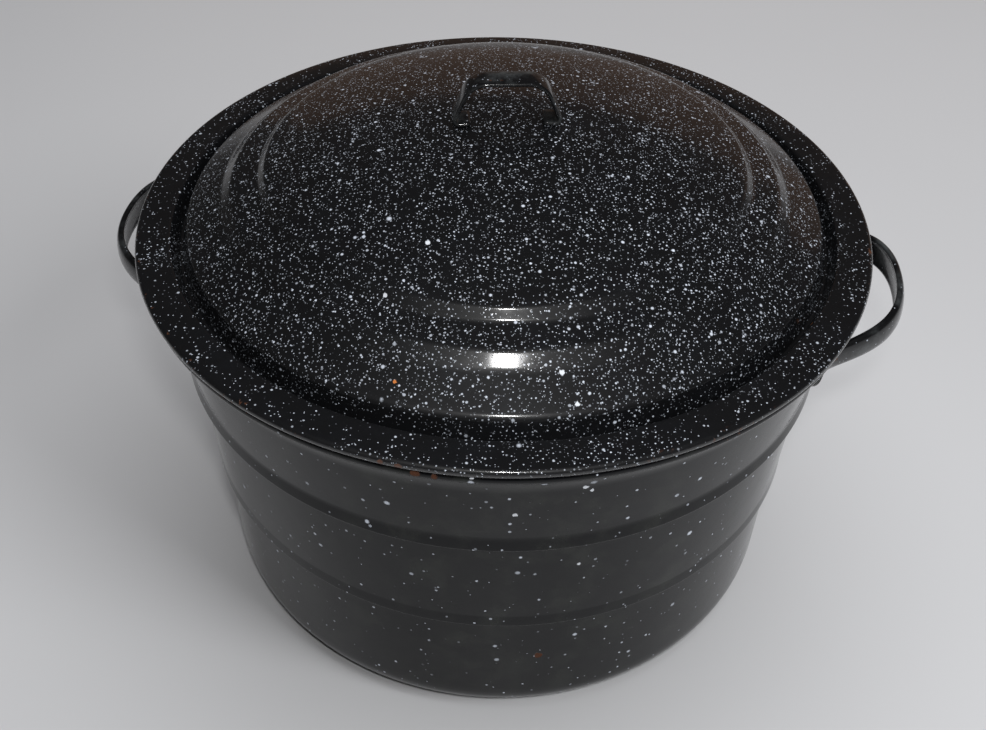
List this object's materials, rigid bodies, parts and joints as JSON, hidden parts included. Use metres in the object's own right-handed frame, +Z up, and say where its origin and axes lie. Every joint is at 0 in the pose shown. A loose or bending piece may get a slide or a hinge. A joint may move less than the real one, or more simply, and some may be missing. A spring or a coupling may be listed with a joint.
{
  "type": "water bath canner",
  "caption": "Enamelled steel water bath canner with stepped wall, welded side handles, domed lid with strap handle, and a lift-out wire rack that holds jars off the floor.",
  "frame": {"origin": "centre of the pot's flat base, on the surface it stands on", "axes": "+Z up along the pot's axis, +X towards the right side handle, +Y towards the back"},
  "size_m": [0.426, 0.3798, 0.2988],
  "materials": {
    "speckled_enamel": "glossy vitreous enamel, black with white specks",
    "rack_wire": "plated wire"
  },
  "bodies": {
    "pot": {"pot_body": "speckled_enamel", "side_handle_right": "speckled_enamel", "side_handle_left": "speckled_enamel"},
    "lid": {"lid_shell": "speckled_enamel", "lid_handle": "speckled_enamel"},
    "rack": {"rack_upper_ring": "rack_wire", "rack_centre_ring": "rack_wire", "rack_base_ring_inner": "rack_wire", "rack_base_ring_middle": "rack_wire", "rack_base_ring_outer": "rack_wire", "rack_divider_1": "rack_wire", "rack_divider_2": "rack_wire", "rack_divider_3": "rack_wire", "rack_divider_4": "rack_wire", "rack_divider_5": "rack_wire", "rack_divider_6": "rack_wire", "rack_post_1": "rack_wire", "rack_post_2": "rack_wire", "rack_post_3": "rack_wire", "rack_post_4": "rack_wire", "rack_post_5": "rack_wire", "rack_post_6": "rack_wire", "rack_eye_right_front": "rack_wire", "rack_eye_right_back": "rack_wire", "rack_eye_left_front": "rack_wire", "rack_eye_left_back": "rack_wire"},
    "rack_handle_right": {"rack_handle_right": "rack_wire"},
    "rack_handle_left": {"rack_handle_left": "rack_wire"}
  },
  "joints": [
    {"name": "lid_lift", "type": "slide", "parent": "pot", "child": "lid", "axis": [0, 0, 1], "range_m": [0, 0.3]},
    {"name": "rack_lift", "type": "slide", "parent": "pot", "child": "rack", "axis": [0, 0, 1], "range_m": [0, 0.24]},
    {"name": "rack_handle_right_swing", "type": "hinge", "parent": "rack", "child": "rack_handle_right", "pos_m": [0.13774, 0, 0.10555], "axis": [0, 1, 0], "range_deg": [0, 95]},
    {"name": "rack_handle_left_swing", "type": "hinge", "parent": "rack", "child": "rack_handle_left", "pos_m": [-0.13774, 0, 0.10555], "axis": [0, -1, 0], "range_deg": [0, 95]}
  ],
  "couplings": [
    {"joint": "rack_lift", "follows": "lid_lift", "ratio": 0.8}
  ]
}
